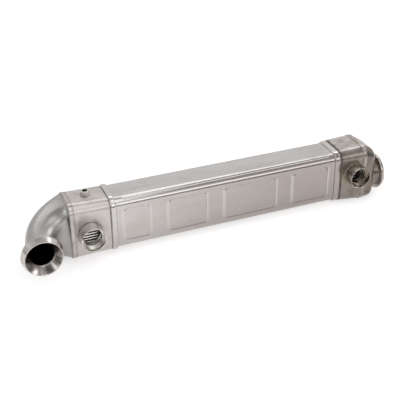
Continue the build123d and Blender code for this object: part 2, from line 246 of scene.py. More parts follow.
def patches(
    tree: Tree, spot: Socket, size: Point, span: Span, detail: float = 3.0, seed: float = 0.0
) -> Socket:
    """Uneven patches on the metal, such as rolling streaks or pickling stains.

    Args:
        tree: The node tree.
        spot: Coordinates in millimetres.
        size: Length of a patch along X, Y and Z in millimetres.
        span: Values of the pattern that become 0 and 1.
        detail: How many finer levels the pattern has.
        seed: Shift that tells one pattern from another of its size.

    Returns:
        A value from 0 to 1 over the surface.
    """
    stretch = tuple(1 / s for s in size)
    shift = tuple(seed * share for share in SEED_SHIFT)
    placed = add_node(tree, "ShaderNodeMapping", None, {"Vector": spot, "Scale": stretch, "Location": shift})
    cloud = add_node(
        tree, "ShaderNodeTexNoise", None,
        {"Vector": placed.outputs[0], "Scale": 1.0, "Detail": detail, "Roughness": PATCH_ROUGHNESS},
    )
    spread = add_node(tree, MAP_RANGE, SMOOTH, {0: cloud.outputs["Fac"], 1: span[0], 2: span[1]})
    return spread.outputs[0]


def blend(tree: Tree, share: object, first: object, second: object) -> Socket:
    """Goes from one colour to another.

    Args:
        tree: The node tree.
        share: Value or output from 0 to 1.
        first: Colour at 0, as a hex string or an output.
        second: Colour at 1, as a hex string or an output.

    Returns:
        The mixed colour.
    """
    ends = [linear(end) if isinstance(end, str) else end for end in (first, second)]
    mixed = add_node(tree, "ShaderNodeMix", {"data_type": "RGBA"}, {0: share, 6: ends[0], 7: ends[1]})
    return mixed.outputs[2]


def tinted(tree: Tree, spot: Socket, colour: Socket, tints: tuple[HeatTint, ...]) -> Socket:
    """Lays weld heat tints, painted highlights and painted shade over a colour, fading out from each place.

    Args:
        tree: The node tree.
        spot: Coordinates in millimetres.
        colour: The metal's colour before the tint.
        tints: The heat tints and painted light on this finish.

    Returns:
        The colour with the tints and painted light.
    """
    ragged = patches(tree, spot, size=(7.0, 7.0, 7.0), span=(0.25, 0.75), seed=4.0)
    for tint in tints:
        away = add_node(tree, VECTOR_MATH, {"operation": "SUBTRACT"}, {0: spot, 1: tint.place})
        flat = add_node(
            tree, VECTOR_MATH, {"operation": "MULTIPLY"}, {0: away.outputs[0], 1: tint.across.value}
        )
        far = add_node(tree, VECTOR_MATH, {"operation": "LENGTH"}, {0: flat.outputs[0]})
        gap = add_node(tree, MATH, {"operation": "SUBTRACT"}, {0: far.outputs["Value"], 1: tint.radius})
        near = add_node(tree, MATH, {"operation": "ABSOLUTE"}, {0: gap.outputs[0]})
        fade = add_node(
            tree, MAP_RANGE, SMOOTH, {0: near.outputs[0], 1: 0.0, 2: tint.reach, 3: tint.strength, 4: 0.0}
        )
        uneven = add_node(tree, MAP_RANGE, None, {0: ragged, 3: THINNEST_TINT, 4: 1.0})
        share = add_node(
            tree, MATH, {"operation": "MULTIPLY", "use_clamp": True},
            {0: fade.outputs[0], 1: uneven.outputs[0]},
        )
        if tint.across in (Across.NECK, Across.BOSS):
            # The far wall of the tank lies behind the fitting too, and has no weld
            whole = add_node(tree, VECTOR_MATH, {"operation": "LENGTH"}, {0: away.outputs[0]})
            same_wall = add_node(
                tree, MATH, {"operation": "LESS_THAN"},
                {0: whole.outputs["Value"], 1: tint.radius + 2 * tint.reach},
            )
            share = add_node(
                tree, MATH, {"operation": "MULTIPLY"}, {0: share.outputs[0], 1: same_wall.outputs[0]}
            )
        colour = blend(tree, share.outputs[0], colour, tint.colour)
    return colour


def filmed(tree: Tree, spot: Socket, colour: Socket, film: SideFilm) -> Socket:
    """Lays painted shade over one side of a colour.

    Args:
        tree: The node tree.
        spot: Coordinates in millimetres.
        colour: The metal's colour before the painted shade.
        film: Where the painted shade starts, where it is full and how dark it is.

    Returns:
        The colour with the painted shade.
    """
    parts = add_node(tree, "ShaderNodeSeparateXYZ", None, {0: spot})
    grown = add_node(
        tree, MAP_RANGE, SMOOTH,
        {0: parts.outputs["X"], 1: film.start_x, 2: film.end_x, 3: 0.0, 4: film.strength},
    )
    front = add_node(
        tree, MAP_RANGE, SMOOTH, {0: parts.outputs["Y"], 1: film.side[0], 2: film.side[1], 3: 1.0, 4: 0.0}
    )
    share = add_node(tree, MATH, {"operation": "MULTIPLY"}, {0: grown.outputs[0], 1: front.outputs[0]})
    return blend(tree, share.outputs[0], colour, film.colour)


def pressed(tree: Tree, spot: Socket, colour: Socket, edges: PadEdges) -> Socket:
    """Paints highlights on the front pads' upright edges and a shadow under their lower one.

    Args:
        tree: The node tree.
        spot: Coordinates in millimetres.
        colour: The metal's colour before this.
        edges: Where the edges are, how bright the painted highlights get and how dark the painted shadow.

    Returns:
        The colour with the painted highlights and shadow.
    """
    parts = add_node(tree, "ShaderNodeSeparateXYZ", None, {0: spot})
    rise = add_node(tree, MATH, {"operation": "SUBTRACT"}, {0: parts.outputs["Z"], 1: MID_Z})
    height = add_node(tree, MATH, {"operation": "ABSOLUTE"}, {0: rise.outputs[0]})
    fade_start = edges.half_height - edges.fade
    within = add_node(
        tree, MAP_RANGE, SMOOTH,
        {0: height.outputs[0], 1: fade_start, 2: edges.half_height, 3: edges.strength, 4: 0.0},
    )
    front = add_node(tree, MATH, {"operation": "LESS_THAN"}, {0: parts.outputs["Y"], 1: edges.side_y})
    window = add_node(tree, MATH, {"operation": "MULTIPLY"}, {0: within.outputs[0], 1: front.outputs[0]})
    foot_gap = add_node(tree, MATH, {"operation": "ADD"}, {0: rise.outputs[0], 1: edges.half_height})
    foot_near = add_node(tree, MATH, {"operation": "ABSOLUTE"}, {0: foot_gap.outputs[0]})
    foot = add_node(
        tree, MAP_RANGE, SMOOTH,
        {0: foot_near.outputs[0], 1: 0.0, 2: edges.foot_reach, 3: edges.foot_strength, 4: 0.0},
    )
    foot_front = add_node(tree, MATH, {"operation": "MULTIPLY"}, {0: foot.outputs[0], 1: front.outputs[0]})
    # Painted shadow under each pad's lower edge
    for start, end in edges.spans:
        along = add_node(
            tree, MATH, {"operation": "COMPARE"},
            {0: parts.outputs["X"], 1: (start + end) / 2, 2: (end - start) / 2 - edges.reach},
        )
        share = add_node(
            tree, MATH, {"operation": "MULTIPLY"}, {0: along.outputs[0], 1: foot_front.outputs[0]}
        )
        colour = blend(tree, share.outputs[0], colour, edges.foot_colour)
    # Painted highlight along each pad's upright edges
    for place in [end for span in edges.spans for end in span]:
        gap = add_node(tree, MATH, {"operation": "SUBTRACT"}, {0: parts.outputs["X"], 1: place})
        near = add_node(tree, MATH, {"operation": "ABSOLUTE"}, {0: gap.outputs[0]})
        fade = add_node(tree, MAP_RANGE, SMOOTH, {0: near.outputs[0], 1: 0.0, 2: edges.reach, 3: 1.0, 4: 0.0})
        share = add_node(tree, MATH, {"operation": "MULTIPLY"}, {0: fade.outputs[0], 1: window.outputs[0]})
        colour = blend(tree, share.outputs[0], colour, edges.colour)
    return colour


def gas_side(tree: Tree, spot: Socket) -> Socket:
    """Tells the elbow's gas side from its outside by which way the wall faces.

    Args:
        tree: The node tree.
        spot: Coordinates in millimetres.

    Returns:
        1 on the gas side and 0 on the outside.
    """
    reach, drop = SEAM_X - FLANGE_SEAT[0], MID_Y - FLANGE_SEAT[1]
    bend_middle = (SEAM_X, FLANGE_SEAT[1], MID_Z)
    away = add_node(tree, VECTOR_MATH, {"operation": "SUBTRACT"}, {0: spot, 1: bend_middle})
    scaled = add_node(
        tree, VECTOR_MATH, {"operation": "MULTIPLY"}, {0: away.outputs[0], 1: (1 / reach, 1 / drop, 0.0)}
    )
    heading = add_node(tree, VECTOR_MATH, {"operation": "NORMALIZE"}, {0: scaled.outputs[0]})
    middle = add_node(
        tree, VECTOR_MATH, {"operation": "MULTIPLY"}, {0: heading.outputs[0], 1: (reach, drop, 0.0)}
    )
    outward = add_node(
        tree, VECTOR_MATH, {"operation": "SUBTRACT"}, {0: away.outputs[0], 1: middle.outputs[0]}
    )
    wall = add_node(tree, "ShaderNodeNewGeometry")
    facing = add_node(
        tree, VECTOR_MATH, {"operation": "DOT_PRODUCT"},
        {0: outward.outputs[0], 1: wall.outputs["True Normal"]},
    )
    inside = add_node(tree, MATH, {"operation": "LESS_THAN"}, {0: facing.outputs["Value"], 1: 0.0})
    return inside.outputs[0]


def sooted(tree: Tree, spot: Socket, colour: Socket, bore: SootedBore) -> Socket:
    """Paints the gas inlet's bore black as shade, and streaks of dark reflection on the funnel before it.

    Args:
        tree: The node tree.
        spot: Coordinates in millimetres.
        colour: The metal's colour before the painted shade.
        bore: Where the bore lies and how far the painted streaks go.

    Returns:
        The colour with the painted shade and reflections.
    """
    away = add_node(tree, VECTOR_MATH, {"operation": "SUBTRACT"}, {0: spot, 1: bore.seat})
    parts = add_node(tree, "ShaderNodeSeparateXYZ", None, {0: away.outputs[0]})
    flat = add_node(tree, VECTOR_MATH, {"operation": "MULTIPLY"}, {0: away.outputs[0], 1: (1.0, 0.0, 1.0)})
    far = add_node(tree, VECTOR_MATH, {"operation": "LENGTH"}, {0: flat.outputs[0]})
    round_it = add_node(tree, VECTOR_MATH, {"operation": "NORMALIZE"}, {0: flat.outputs[0]})
    ragged = patches(tree, spot, size=(5.0, 5.0, 5.0), span=(0.2, 0.8), seed=bore.reach)
    uneven = add_node(tree, MAP_RANGE, None, {0: ragged, 3: bore.thinnest, 4: 1.0})
    sectors = None
    for angle, half in bore.streaks:
        heading = (cos(radians(angle)), 0.0, sin(radians(angle)))
        side = add_node(tree, VECTOR_MATH, {"operation": "DOT_PRODUCT"}, {0: round_it.outputs[0], 1: heading})
        sector = add_node(
            tree, MAP_RANGE, SMOOTH,
            {0: side.outputs["Value"], 1: cos(radians(half)), 2: cos(radians(half / 2))},
        )
        if sectors is None:
            sectors = sector.outputs[0]
        else:
            both = add_node(tree, MATH, {"operation": "MAXIMUM"}, {0: sectors, 1: sector.outputs[0]})
            sectors = both.outputs[0]
    patchy = add_node(tree, MATH, {"operation": "MULTIPLY"}, {0: uneven.outputs[0], 1: sectors})
    full, end = bore.radius + bore.solid * bore.reach, bore.radius + bore.reach
    fade = add_node(
        tree, MAP_RANGE, SMOOTH, {0: far.outputs["Value"], 1: full, 2: end, 3: bore.strength, 4: 0.0}
    )
    clear = add_node(
        tree, MAP_RANGE, SMOOTH,
        {0: far.outputs["Value"], 1: bore.radius + bore.lip[0], 2: bore.radius + bore.lip[1]},
    )
    faded = add_node(tree, MATH, {"operation": "MULTIPLY"}, {0: fade.outputs[0], 1: clear.outputs[0]})
    share = add_node(tree, MATH, {"operation": "MULTIPLY"}, {0: patchy.outputs[0], 1: faded.outputs[0]})
    # The back of the ring lies behind the throat, outside the funnel, and gets no painted streaks
    funnel = add_node(tree, "ShaderNodeNewGeometry")
    heading = add_node(
        tree, VECTOR_MATH, {"operation": "DOT_PRODUCT"},
        {0: away.outputs[0], 1: funnel.outputs["True Normal"]},
    )
    inward = add_node(tree, MATH, {"operation": "LESS_THAN"}, {0: heading.outputs["Value"], 1: 0.0})
    on_funnel = add_node(tree, MATH, {"operation": "MULTIPLY"}, {0: share.outputs[0], 1: inward.outputs[0]})
    streaked = blend(tree, on_funnel.outputs[0], colour, bore.streak)
    # The bore past its start is painted black as shade
    deep = add_node(tree, MATH, {"operation": "GREATER_THAN"}, {0: parts.outputs["Y"], 1: bore.start})
    near = add_node(
        tree, MATH, {"operation": "LESS_THAN"}, {0: far.outputs["Value"], 1: bore.radius + bore.slack}
    )
    black = add_node(tree, MATH, {"operation": "MULTIPLY"}, {0: deep.outputs[0], 1: near.outputs[0]})
    return blend(tree, black.outputs[0], streaked, bore.colour)


def steel_shader(tree: Tree, colour: Socket, rough: Socket, relief: list[tuple[Socket, float]]) -> None:
    """Ends a material as bare steel with some relief.

    Args:
        tree: The node tree.
        colour: The metal's colour.
        rough: The metal's roughness.
        relief: Patterns and their height in millimetres, coarse ones first.
    """
    normal = None
    for pattern, height in relief:
        feeds = {"Height": pattern, "Distance": height * MM, "Strength": 1.0}
        if normal is not None:
            feeds["Normal"] = normal
        normal = add_node(tree, "ShaderNodeBump", None, feeds).outputs[0]
    feeds = {"Base Color": colour, "Metallic": 1.0, "Roughness": rough}
    if normal is not None:
        feeds["Normal"] = normal
    metal = add_node(tree, "ShaderNodeBsdfPrincipled", None, feeds)
    add_node(tree, "ShaderNodeOutputMaterial", None, {"Surface": metal.outputs[0]})


@dataclass(frozen=True)
class SheetFinish:
    """Stainless sheet, cold rolled and pickled: a soft satin with faint streaks along the rolling direction.

    Streak, stain_size and wave_size are lengths of patches in mm, and wave and grain are heights in mm.
    """

    name: str
    bright: str
    dull: str
    stain: str
    roughness: Span
    streak: Point
    stain_size: float
    stain_share: float
    wave: float
    grain: float = 0.008
    wave_size: Point = (70.0, 45.0, 45.0)
    tints: tuple[HeatTint, ...] = ()
    film: Optional[SideFilm] = None
    edges: Optional[PadEdges] = None
    soot: Optional[str] = None

    def material(self) -> bpy.types.Material:
        """Builds the material.

        Returns:
            The finished material.
        """
        material, tree, spot = new_tree(self.name)
        # Rolling streaks are finer than a millimetre on the real sheet, and are drawn coarser to show
        streaks = patches(tree, spot, size=self.streak, span=(0.3, 0.7))
        size = self.stain_size
        stains = patches(tree, spot, size=(size, size, size), span=(0.5, 0.8), detail=5.0, seed=9.0)
        # Scuffs of handling, a third as long as a stain and narrower
        scuffs = patches(tree, spot, size=(size / 3, size / 5, size / 5), span=(0.35, 0.75), seed=2.0)
        satin = blend(tree, streaks, self.dull, self.bright)
        share = add_node(tree, MATH, {"operation": "MULTIPLY"}, {0: stains, 1: self.stain_share})
        stained = blend(tree, share.outputs[0], satin, self.stain)
        colour = tinted(tree, spot, stained, self.tints)
        # Painted shade on one side of the piece
        if self.film:
            colour = filmed(tree, spot, colour, self.film)
        # Painted highlights and shadow at the pads' edges
        if self.edges:
            colour = pressed(tree, spot, colour, self.edges)
        # The elbow's gas side is painted black as shade
        if self.soot:
            colour = blend(tree, gas_side(tree, spot), colour, self.soot)
        # Streaks and scuffs add up to 2 at most
        worn = add_node(tree, MATH, {"operation": "ADD"}, {0: streaks, 1: scuffs})
        rough = add_node(
            tree, MAP_RANGE, None,
            {0: worn.outputs[0], 1: 0.0, 2: 2.0, 3: self.roughness[0], 4: self.roughness[1]},
        )
        waves = patches(tree, spot, size=self.wave_size, span=(0.0, 1.0), detail=1.0, seed=5.0)
        steel_shader(tree, colour, rough.outputs[0], [(waves, self.wave), (streaks, self.grain)])
        return material


@dataclass(frozen=True)
class TurnedFinish:
    """Stainless bar turned on a lathe: bright, with fine tool marks round the axis.

    Feed is the width of a tool mark, mark its height and smear the size of a handling mark, all in mm.
    """

    name: str
    bright: str
    dull: str
    roughness: Span
    axis: Point
    feed: float = 1.2
    mark: float = 0.01
    smear: float = 14.0
    bore: Optional[SootedBore] = None

    def material(self) -> bpy.types.Material:
        """Builds the material.

        Returns:
            The finished material.
        """
        material, tree, spot = new_tree(self.name)
        along = add_node(tree, VECTOR_MATH, {"operation": "DOT_PRODUCT"}, {0: spot, 1: self.axis})
        # The real feed is about 0.2 mm a turn, and is drawn coarser so that it shows
        turn = add_node(
            tree, MATH, {"operation": "MULTIPLY"}, {0: along.outputs["Value"], 1: 2 * pi / self.feed}
        )
        marks = add_node(tree, MATH, {"operation": "SINE"}, {0: turn.outputs[0]})
        spread = add_node(tree, MAP_RANGE, None, {0: marks.outputs[0], 1: -1.0, 2: 1.0})
        handled = patches(
            tree, spot, size=(self.smear, self.smear, self.smear), span=(0.35, 0.75), detail=4.0, seed=6.0
        )
        colour = blend(tree, handled, self.dull, self.bright)
        # Painted shade in the bore and painted dark reflections on its funnel
        if self.bore:
            colour = sooted(tree, spot, colour, self.bore)
        rough = add_node(tree, MAP_RANGE, None, {0: handled, 3: self.roughness[1], 4: self.roughness[0]})
        steel_shader(tree, colour, rough.outputs[0], [(spread.outputs[0], self.mark)])
        return material


@dataclass(frozen=True)
class WeldFinish:
    """Weld metal left as it cooled: dull, slightly rippled and a little brown.

    Ripple is the width of a ripple, height its height and scale the size of a patch of scale, all in mm.
    """

    name: str
    bright: str
    dull: str
    roughness: Span
    ripple: float
    height: float = 0.18
    scale: float = 9.0

    def material(self) -> bpy.types.Material:
        """Builds the material.

        Returns:
            The finished material.
        """
        material, tree, spot = new_tree(self.name)
        ripples = patches(
            tree, spot, size=(self.ripple, self.ripple, self.ripple), span=(0.3, 0.7), detail=2.0, seed=3.0
        )
        scale = patches(tree, spot, size=(self.scale, self.scale, self.scale), span=(0.35, 0.65), seed=7.0)
        colour = blend(tree, scale, self.dull, self.bright)
        rough = add_node(tree, MAP_RANGE, None, {0: ripples, 3: self.roughness[0], 4: self.roughness[1]})
        steel_shader(tree, colour, rough.outputs[0], [(ripples, self.height)])
        return material


@dataclass(frozen=True)
class FloorFinish:
    """Matt white studio floor that the camera sees as plain white, with the object's shadow on it."""

    name: str = "matt_white_floor"
    paint: str = "E4E3E3"
    glow: str = "FFFFFF"
    lift: float = 0.48
    grain: Point = (2.0, 2.0, 2.0)
    roughness: Span = (0.85, 0.95)

    def material(self) -> bpy.types.Material:
        """Builds the material.

        Returns:
            The finished material.
        """
        material, tree, spot = new_tree(self.name)
        grain = patches(tree, spot, size=self.grain, span=(0.0, 1.0))
        rough = add_node(tree, MAP_RANGE, None, {0: grain, 3: self.roughness[0], 4: self.roughness[1]})
        matt = add_node(
            tree, "ShaderNodeBsdfDiffuse", None, {"Color": linear(self.paint), "Roughness": rough.outputs[0]}
        )
        path = add_node(tree, "ShaderNodeLightPath")
        seen = add_node(
            tree, MATH, {"operation": "ADD"},
            {0: path.outputs["Is Camera Ray"], 1: path.outputs["Is Glossy Ray"]},
        )
        shown = add_node(
            tree, MATH, {"operation": "ADD", "use_clamp": True},
            {0: seen.outputs[0], 1: path.outputs["Is Transmission Ray"]},
        )
        strength = add_node(tree, MATH, {"operation": "MULTIPLY"}, {0: shown.outputs[0], 1: self.lift})
        light = add_node(
            tree, "ShaderNodeEmission", None, {"Color": linear(self.glow), "Strength": strength.outputs[0]}
        )
        both = add_node(tree, "ShaderNodeAddShader", None, {0: matt.outputs[0], 1: light.outputs[0]})
        add_node(tree, "ShaderNodeOutputMaterial", None, {"Surface": both.outputs[0]})
        return material


Finish = Union[SheetFinish, TurnedFinish, WeldFinish]


class Workshop:
    """Makes each finish once and hands it to the pieces and nodes that wear it."""

    def __init__(self) -> None:
        """Starts with no material made."""
        self.made: dict[str, bpy.types.Material] = {}

    def wear(self, piece: bpy.types.Object, finish: Finish) -> None:
        """Gives a new piece or a CAD node its finish.

        Args:
            piece: The object to dress.
            finish: One of the finishes of this file.
        """
        if finish.name not in self.made:
            self.made[finish.name] = finish.material()
        material = self.made[finish.name]
        if not piece.material_slots:
            piece.data.materials.append(material)
        for slot in piece.material_slots:
            slot.material = material


def add_piece(name: str, bm: bmesh.types.BMesh, smooth: bool = True) -> bpy.types.Object:
    """Closes a bmesh into an object at the origin.

    Args:
        name: The piece's name.
        bm: Its mesh in millimetres, already in place.
        smooth: Whether its faces are shaded smooth.

    Returns:
        The new object, linked to the scene.
    """
    same_place = 0.001
    bmesh.ops.remove_doubles(bm, verts=bm.verts, dist=same_place)
    bmesh.ops.recalc_face_normals(bm, faces=bm.faces)
    bmesh.ops.scale(bm, vec=(MM, MM, MM), verts=bm.verts)
    mesh = bpy.data.meshes.new(name)
    bm.to_mesh(mesh)
    bm.free()
    for face in mesh.polygons:
        face.use_smooth = smooth
    piece = bpy.data.objects.new(name, mesh)
    bpy.context.scene.collection.objects.link(piece)
    LOG.info("%s: %d faces", name, len(mesh.polygons))
    return piece


@dataclass(frozen=True)
class Section:
    """Rounded-box section that a seam follows, and how far its middle lies below the core's, in mm."""

    width: float
    height: float
    corner: float
    drop: float = 0.0


@dataclass
class BoxSeam:
    """A bead of weld or braze round a rounded-box section."""

    name: str
    along: float
    section: Section
    bead: float
    flat: float = 0.6
    corner_steps: int = 12
    rounding: float = 0.8
    rounding_steps: int = 3
    sharp_from: float = 60.0

    def build(self) -> bpy.types.Object:
        """Builds the seam as a ring of round section.

        Returns:
            The seam's object.
        """
        bm = bmesh.new()
        # A square with sides of 1 mm, stretched to the section
        bmesh.ops.create_grid(bm, x_segments=1, y_segments=1, size=0.5)
        reach = 2 * self.bead * self.flat
        bmesh.ops.scale(bm, vec=(self.section.width + reach, self.section.height + reach, 1), verts=bm.verts)
        bmesh.ops.bevel(
            bm, geom=bm.verts[:], offset=self.section.corner + reach / 2, segments=self.corner_steps,
            profile=0.5, affect="VERTICES", material=-1,
        )
        ring = bmesh.ops.inset_region(
            bm, faces=bm.faces[:], thickness=reach, use_boundary=True, use_even_offset=True
        )
        inner = [f for f in bm.faces if f not in ring["faces"]]
        bmesh.ops.delete(bm, geom=inner, context="FACES")
        bmesh.ops.recalc_face_normals(bm, faces=bm.faces)
        bmesh.ops.solidify(bm, geom=bm.faces[:], thickness=2 * self.bead)
        bmesh.ops.recalc_face_normals(bm, faces=bm.faces)
        limit = radians(self.sharp_from)
        sharp = [e for e in bm.edges if len(e.link_faces) == 2 and e.calc_face_angle(0) > limit]
        bmesh.ops.bevel(
            bm, geom=sharp, offset=self.rounding * min(self.bead, reach / 2), segments=self.rounding_steps,
            profile=0.5, affect="EDGES", material=-1,
        )
        lowest = min(v.co.z for v in bm.verts)
        bmesh.ops.translate(bm, vec=(0, 0, -lowest - self.bead), verts=bm.verts)
        place = Matrix.Translation((SEAM_X + self.along, MID_Y, MID_Z - self.section.drop))
        # The ring's X, Y and Z become the cooler's Y, Z and X
        turn = Matrix(((0, 0, 1, 0), (1, 0, 0, 0), (0, 1, 0, 0), (0, 0, 0, 1)))
        bmesh.ops.transform(bm, matrix=place @ turn, verts=bm.verts)
        return add_piece(self.name, bm)


@dataclass
class RoundSeam:
    """A bead of weld round a pipe, port or fitting."""

    name: str
    centre: Point
    axis: Point
    radius: float
    bead: float
    flat: float = 0.7
    sides: int = 12
    steps: int = 96

    def build(self) -> bpy.types.Object:
        """Builds the seam by spinning a small circle round the axis.

        Returns:
            The seam's object.
        """
        bm = bmesh.new()
        bmesh.ops.create_circle(bm, segments=self.sides, radius=self.bead)
        bmesh.ops.scale(bm, vec=(self.flat, 1, 1), verts=bm.verts)
        bmesh.ops.rotate(bm, matrix=Matrix.Rotation(pi / 2, 3, "X"), verts=bm.verts)
        bmesh.ops.translate(bm, vec=(self.radius, 0, 0), verts=bm.verts)
        bmesh.ops.spin(
            bm, geom=bm.edges[:], cent=(0, 0, 0), axis=(0, 0, 1), angle=2 * pi, steps=self.steps,
            use_merge=True,
        )
        face_up = Vector((0, 0, 1)).rotation_difference(Vector(self.axis)).to_matrix().to_4x4()
        bmesh.ops.transform(bm, matrix=Matrix.Translation(self.centre) @ face_up, verts=bm.verts)
        self.settle(bm)
        return add_piece(self.name, bm)

    def settle(self, bm: bmesh.types.BMesh) -> None:
        """Leaves the ring flat, because most of these seats are flat."""


@dataclass
class NeckSeam(RoundSeam):
    """The weld between the end cap and its neck, which dips where the cap's rounded front edge falls away."""

    crown: float = 14.0
    crown_y: float = MID_Y - 28.4
    steepest: float = 0.95

    def settle(self, bm: bmesh.types.BMesh) -> None:
        """Lowers the ring onto the cap's rounded edge.

        Args:
            bm: The ring's mesh in millimetres.
        """
        for vert in bm.verts:
            beyond = min(max(self.crown_y - vert.co.y, 0.0), self.crown * self.steepest)
            vert.co.x -= self.crown - sqrt(self.crown**2 - beyond**2)


@dataclass
class VentThread:
    """The screw thread inside the vent fitting, as one helical ridge."""

    name: str = "vent_thread"
    centre: Point = (VENT[0], VENT[1], 0.0)
    radius: float = 5.3
    depth: float = 0.75
    pitch: float = 1.5
    land: float = 0.9
    low: float = 122.6
    high: float = 130.6
    steps_per_turn: int = 30

    def build(self) -> bpy.types.Object:
        """Builds the ridge by spinning a triangle with a rise each turn.

        Returns:
            The thread's object.
        """
        turns = (self.high - self.low) / self.pitch
        bm = bmesh.new()
        bmesh.ops.create_circle(bm, segments=3, radius=self.pitch * 0.5, cap_ends=True)
        # The triangle is as high as one and a half of its radius
        bmesh.ops.scale(bm, vec=(self.depth / (self.pitch * 0.75), self.land, 1), verts=bm.verts)
        bmesh.ops.rotate(bm, matrix=Matrix.Rotation(pi / 2, 3, "X"), verts=bm.verts)
        tip = max(v.co.x for v in bm.verts)
        bmesh.ops.translate(bm, vec=(self.radius - tip, 0, self.low), verts=bm.verts)
        profile = bm.verts[:] + bm.edges[:] + bm.faces[:]
        steps = int(turns * self.steps_per_turn)
        bmesh.ops.spin(
            bm, geom=profile, cent=(0, 0, 0), axis=(0, 0, 1), angle=2 * pi * turns, steps=steps,
            dvec=(0, 0, turns * self.pitch / steps),
        )
        bmesh.ops.translate(bm, vec=self.centre, verts=bm.verts)
        return add_piece(self.name, bm, smooth=False)


# Sections of the cooler where a seam runs round it
INLET_RIM = Section(80.8, 117.4, 20.2)
INLET_LAP = Section(79.6, 111.2, 18.1)
SHELL_END = Section(78.6, 110.2, 17.6)
OUTLET_RIM = Section(88.8, 124.4, 23.2, drop=2.0)

# Y from the front wall to the top, over which the front's painted shade fades out
CORNER_FADE = (MID_Y - 38.0, MID_Y - 26.0)
# A range of X that ends before the cooler starts, for painted shade that is full all along it
ALL_ALONG = (-1000.0, -999.0)
# Black painted as the shade inside the gas passage
SOOT = "17140F"

# Pickled cold-rolled sheet: the smoothest of the sheets, with long soft streaks of light on top, and a front
# darkened by painted shade that grows towards the outlet
SHELL_SHEET = SheetFinish(
    name="pickled_rolled_stainless",
    bright="CCC9C7", dull="C3BFBC", stain="B2ABA7",
    roughness=(0.15, 0.24), streak=(150.0, 30.0, 26.0), stain_size=44.0, stain_share=0.45,
    wave=0.22, grain=0.004,
    tints=(
        # The grooves beside the welds at the shell's ends
        HeatTint(Across.SEAM, (SEAM_X + OUTLET_TANK_START - 0.5, 0, 0), 3.5, "8E7C6E", 0.6),
        HeatTint(Across.SEAM, (SEAM_X + INLET_TANK_END + 0.5, 0, 0), 3.0, "93867A", 0.45),
        # Painted highlights on the two beads, lighter than the flat sheet
        HeatTint(Across.SEAM, (SEAM_X + INLET_BEAD, 0, 0), 6.0, "EDEAE7", 0.2),
        HeatTint(Across.SEAM, (SEAM_X + OUTLET_BEAD, 0, 0), 6.5, "E4E0DC", 0.5),
        # A painted dark spot that stands for the shade of a small dent in the second pad
        HeatTint(Across.NECK, (SEAM_X + 237.5, MID_Y - 40.4, MID_Z - 19.0), 3.0, "7A726A", 0.75),
    ),
    # Painted shade on the front, growing towards the outlet
    film=SideFilm("9C938F", SEAM_X - 100.0, SEAM_X + 530.0, CORNER_FADE, strength=0.82),
    # Painted highlights on the pads' upright edges and a painted shadow under their lower edges
    edges=PadEdges(
        PAD_SPANS, PAD_HALF_HEIGHT, side_y=MID_Y - 37.0, reach=5.0, colour="D6D2CE", strength=0.45,
        foot_reach=2.2, foot_colour="79726B", foot_strength=0.7,
    ),
)
# Deep-drawn sheet: drawing roughened it, so it is an even satin with blurred highlights, tinted at each weld
FORMED_SHEET = SheetFinish(
    name="formed_satin_stainless",
    bright="CBC5C2", dull="BBB5B1", stain="99928D",
    roughness=(0.32, 0.42), streak=(34.0, 16.0, 30.0), stain_size=26.0, stain_share=0.35,
    wave=0.12, grain=0.003,
    tints=(
        HeatTint(Across.SEAM, (SEAM_X, 0, 0), 5.0, "7E756C", 0.6),
        HeatTint(Across.SEAM, (SEAM_X + INLET_TANK_START, 0, 0), 4.0, "877E74", 0.45),
        HeatTint(Across.NECK, INLET_PORT, 5.0, "8F867D", 0.35, radius=25.0),
        HeatTint(Across.BOSS, VENT, 4.0, "857B72", 0.5, radius=8.5),
        HeatTint(Across.MOUTH, FLANGE_SEAT, 6.0, "8C857E", 0.35),
    ),
)
# The elbow is formed of the same sheet, greyer and smoother outside, with its gas side painted black as shade
ELBOW_SHEET = replace(
    FORMED_SHEET, name="formed_stainless_shaded_inside",
    bright="ACAAA8", dull="A09E9C", stain="938D89",
    roughness=(0.29, 0.37), streak=(60.0, 60.0, 60.0), soot=SOOT,
)
# Formed sheet that the hot welds browned: blotchy, with a straw ring round the coolant port
TINTED_SHEET = SheetFinish(
    name="heat_tinted_stainless",
    bright="CAC4BF", dull="ACA59F", stain="756C65",
    roughness=(0.24, 0.38), streak=(22.0, 10.0, 26.0), stain_size=17.0, stain_share=0.8, wave=0.2,
    tints=(
        HeatTint(Across.NECK, OUTLET_PORT, 9.0, "A08A5E", 0.75, radius=24.0),
        HeatTint(Across.SEAM, (SEAM_X + OUTLET_TANK_END, 0, 0), 3.5, "544A42", 0.75),
        HeatTint(Across.SEAM, (SEAM_X + OUTLET_TANK_START, 0, 0), 5.0, "766A5F", 0.5),
    ),
    # Painted shade on the front, full from the tank's start on, carrying on the shell's
    film=SideFilm(
        "6E635A", SEAM_X + OUTLET_TANK_START - 40.0, SEAM_X + OUTLET_TANK_START, CORNER_FADE, strength=0.66
    ),
)
# Drawn sheet with the thickest heat oxide: the darkest brown grey of the sheets, with an uneven gloss
CAP_SHEET = SheetFinish(
    name="hot_side_stainless",
    bright="A79F9A", dull="857C76", stain="675E57",
    roughness=(0.2, 0.33), streak=(22.0, 14.0, 22.0), stain_size=20.0, stain_share=0.6, wave=0.16,
    tints=(HeatTint(Across.SEAM, (SEAM_X + CAP_START, 0, 0), 4.0, "4F453D", 0.75),),
    # Painted shade on the cap's front
    film=SideFilm(
        "5E534B", SEAM_X + CAP_START - 10.0, SEAM_X + CAP_START, (MID_Y - 30.0, MID_Y - 12.0), strength=0.55
    ),
)
# Blanked plate: its edge shows fine cross streaks of the cut and keeps crisp highlights
RIM_PLATE = SheetFinish(
    name="blanked_plate_edge_stainless",
    bright="C6C0BD", dull="ABA5A1", stain="857D77",
    roughness=(0.22, 0.34), streak=(6.0, 22.0, 22.0), stain_size=16.0, stain_share=0.5, wave=0.05,
)
